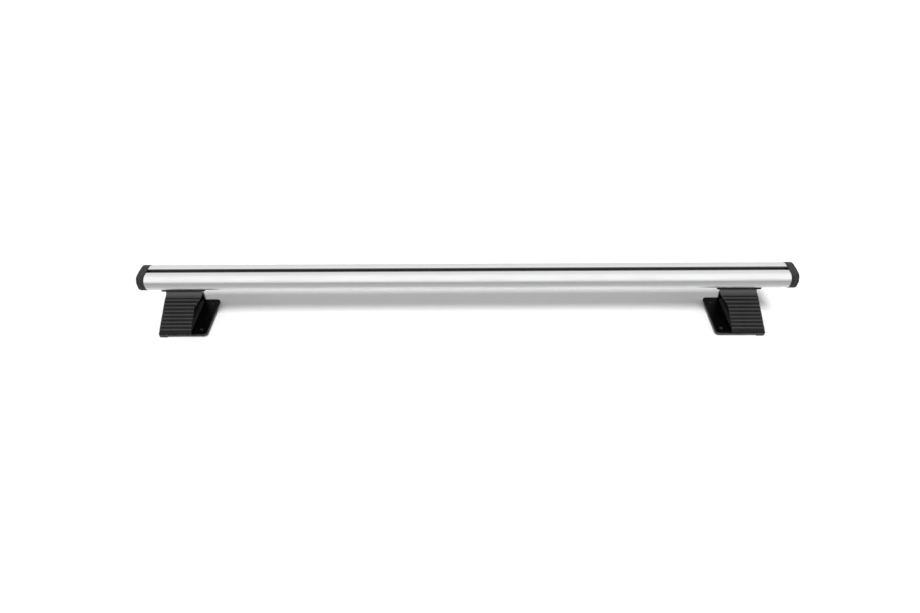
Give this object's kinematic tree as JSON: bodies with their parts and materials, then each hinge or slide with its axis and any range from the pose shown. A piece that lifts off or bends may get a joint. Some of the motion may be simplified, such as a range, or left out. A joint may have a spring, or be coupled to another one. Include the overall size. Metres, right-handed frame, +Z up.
{
  "type": "roof rack crossbar",
  "caption": "Roof rack crossbar: a rounded aluminium extrusion, slotted along its top and capped at its ends, on ribbed black feet that lean outward to flat base plates.",
  "frame": {"origin": "on the ground plane, below the middle of the bar", "axes": "+X along the bar towards its right end as pictured, +Y across the bar away from the camera, +Z up"},
  "size_m": [1.232, 0.103, 0.1275],
  "materials": {
    "anodised_aluminium": "satin anodised, drawn along the bar",
    "cap_plastic": "grained",
    "foot_nylon": "satin moulded",
    "plate_paint": "powder coated",
    "saddle_rubber": "matt",
    "plated_steel": "zinc plated",
    "blackened_steel": "blackened"
  },
  "bodies": {
    "bar": {"crossbar": "anodised_aluminium", "left_end_cap": "cap_plastic", "right_end_cap": "cap_plastic"},
    "left_foot": {"left_foot_body": "foot_nylon", "left_base_plate": "plate_paint", "left_saddle": "saddle_rubber", "left_clamp_bush": "blackened_steel", "left_inner_t_bolt": "plated_steel", "left_inner_washer": "plated_steel", "left_inner_nut": "plated_steel", "left_outer_t_bolt": "plated_steel", "left_outer_washer": "plated_steel", "left_outer_nut": "plated_steel", "left_front_inner_base_screw": "blackened_steel", "left_front_outer_base_screw": "blackened_steel", "left_rear_inner_base_screw": "blackened_steel", "left_rear_outer_base_screw": "blackened_steel"},
    "right_foot": {"right_foot_body": "foot_nylon", "right_base_plate": "plate_paint", "right_saddle": "saddle_rubber", "right_clamp_bush": "blackened_steel", "right_inner_t_bolt": "plated_steel", "right_inner_washer": "plated_steel", "right_inner_nut": "plated_steel", "right_outer_t_bolt": "plated_steel", "right_outer_washer": "plated_steel", "right_outer_nut": "plated_steel", "right_front_inner_base_screw": "blackened_steel", "right_front_outer_base_screw": "blackened_steel", "right_rear_inner_base_screw": "blackened_steel", "right_rear_outer_base_screw": "blackened_steel"}
  },
  "joints": [
    {"name": "left_foot_slide", "type": "slide", "parent": "bar", "child": "left_foot", "axis": [1, 0, 0], "range_m": [-0.02, 0.48]},
    {"name": "right_foot_slide", "type": "slide", "parent": "bar", "child": "right_foot", "axis": [1, 0, 0], "range_m": [-0.458, 0.042]}
  ]
}
